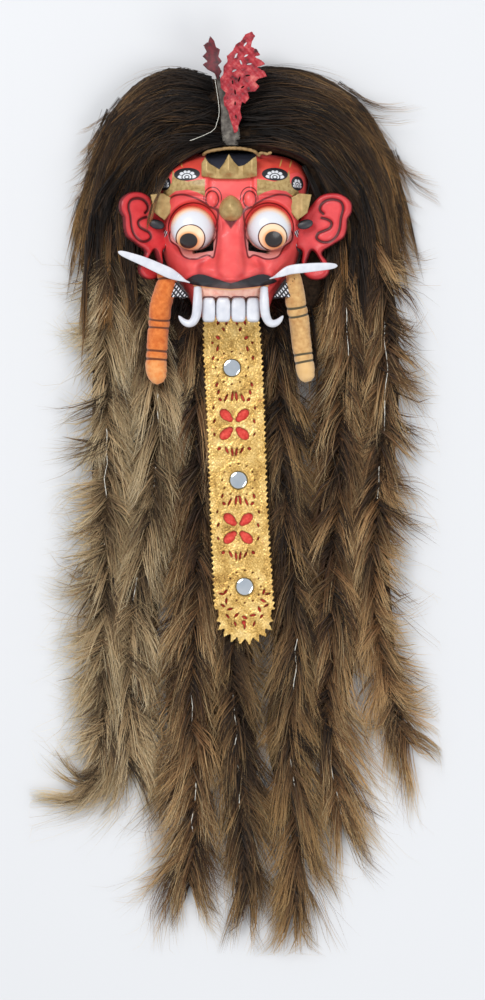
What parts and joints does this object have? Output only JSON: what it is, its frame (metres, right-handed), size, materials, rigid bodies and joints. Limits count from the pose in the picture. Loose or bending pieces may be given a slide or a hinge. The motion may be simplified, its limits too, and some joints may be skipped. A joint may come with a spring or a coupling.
{
  "type": "barong dance mask",
  "caption": "Carved red demon face with tusks, gilded leather tongue, fur hood and a long mane of hair tresses, hollow behind to be worn.",
  "frame": {"origin": "middle of the box of the whole mask as it lies on its back, on the surface it lies on", "axes": "+X across the face to the right as it is seen from in front, +Y up the face towards the crest, +Z out of the face"},
  "size_m": [0.4868, 1.1052, 0.1263],
  "materials": {
    "painted_wood": "coral red oil paint on carved wood, painted eyes, lip, teeth and gilt bands, satin",
    "ear_paint": "deep red paint on carved wood, satin",
    "tusk_paint": "white paint on thin wood, satin",
    "red_felt": "red felt, matte",
    "gilded_leather": "punched and gilded leather, worn gold leaf",
    "mirror_glass": "silvered glass, polished",
    "orange_cloth": "orange cotton plush, wound with thread, matte",
    "tan_cloth": "tan cotton plush, wound with thread, matte",
    "dark_fur": "long dark brown hair on hide, with golden brown ends",
    "crest_paint": "punched leather painted red, worn",
    "crest_dark": "punched leather painted dark maroon, worn",
    "fair_hair": "long fair brown hair tied along a string",
    "brown_hair": "long brown hair tied along a string"
  },
  "bodies": {
    "root": {"mask": "painted_wood", "ear_left": "ear_paint", "ear_right": "ear_paint", "tusk_left": "tusk_paint", "tusk_right": "tusk_paint", "tongue_lining": "red_felt", "tongue": "gilded_leather", "mirror_top": "mirror_glass", "mirror_middle": "mirror_glass", "mirror_bottom": "mirror_glass", "pendant_left": "orange_cloth", "pendant_right": "tan_cloth", "hood": "dark_fur", "crest": "crest_paint", "crest_side_leaf": "crest_dark", "tress_far_left": "fair_hair", "tress_left": "fair_hair", "tress_inner_left": "brown_hair", "tress_centre": "brown_hair", "tress_inner_right": "brown_hair", "tress_right": "brown_hair", "tress_far_right": "brown_hair"}
  },
  "joints": []
}
